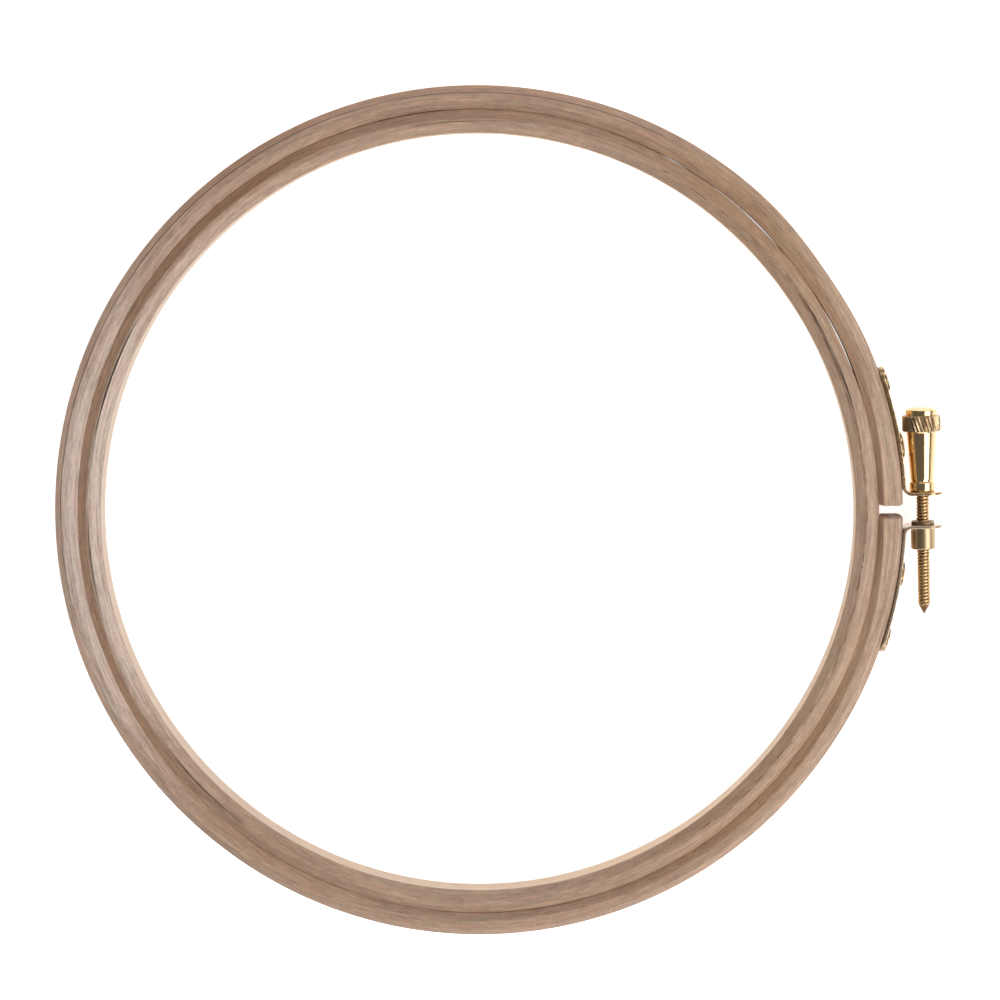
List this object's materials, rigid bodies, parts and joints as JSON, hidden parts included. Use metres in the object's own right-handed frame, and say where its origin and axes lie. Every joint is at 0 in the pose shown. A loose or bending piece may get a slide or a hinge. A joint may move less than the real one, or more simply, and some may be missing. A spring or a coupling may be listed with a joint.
{
  "type": "embroidery hoop",
  "caption": "Round wooden embroidery hoop: closed inner ring in a split outer ring with a brass screw clamp on riveted ears.",
  "frame": {"origin": "centre of the inner ring's opening, halfway through the hoop's depth", "axes": "+Z along the hoop's axis, square to the stretched cloth; +X towards the clamp; +Y along the screw towards its knob"},
  "size_m": [0.224, 0.214, 0.01],
  "materials": {
    "beech_inner": "sanded beech, waxed, with ray flecks",
    "beech_outer": "sanded beech, waxed, grain along the ring",
    "sheet_brass": "rolled brass sheet, slightly dulled",
    "rivet_brass": "headed brass wire, polished dome",
    "turned_brass": "turned and polished brass"
  },
  "bodies": {
    "outer_ring": {"outer_ring": "beech_outer", "upper_bracket": "sheet_brass", "upper_rivet_near": "rivet_brass", "upper_rivet_far": "rivet_brass"},
    "lower_clamp": {"lower_bracket": "sheet_brass", "lower_rivet_near": "rivet_brass", "lower_rivet_far": "rivet_brass", "threaded_bush": "turned_brass"},
    "screw": {"knob": "turned_brass", "screw_shank": "turned_brass"},
    "inner_ring": {"inner_ring": "beech_inner"}
  },
  "joints": [
    {"name": "screw_turn", "type": "hinge", "parent": "outer_ring", "child": "screw", "pos_m": [0.1123, 0.01, 0], "axis": [0, 1, 0], "range_deg": [0, 2610]},
    {"name": "clamp_open", "type": "hinge", "parent": "outer_ring", "child": "lower_clamp", "pos_m": [-0.10415, -0.0096, 0], "axis": [0, 0, -1], "range_deg": [0, 1.62], "deforming": ["outer_ring"]},
    {"name": "inner_ring_lift", "type": "slide", "parent": "outer_ring", "child": "inner_ring", "axis": [0, 0, 1], "range_m": [0, 0.03]}
  ],
  "couplings": [
    {"joint": "clamp_open", "follows": "screw_turn", "ratio": 0.00061765}
  ]
}
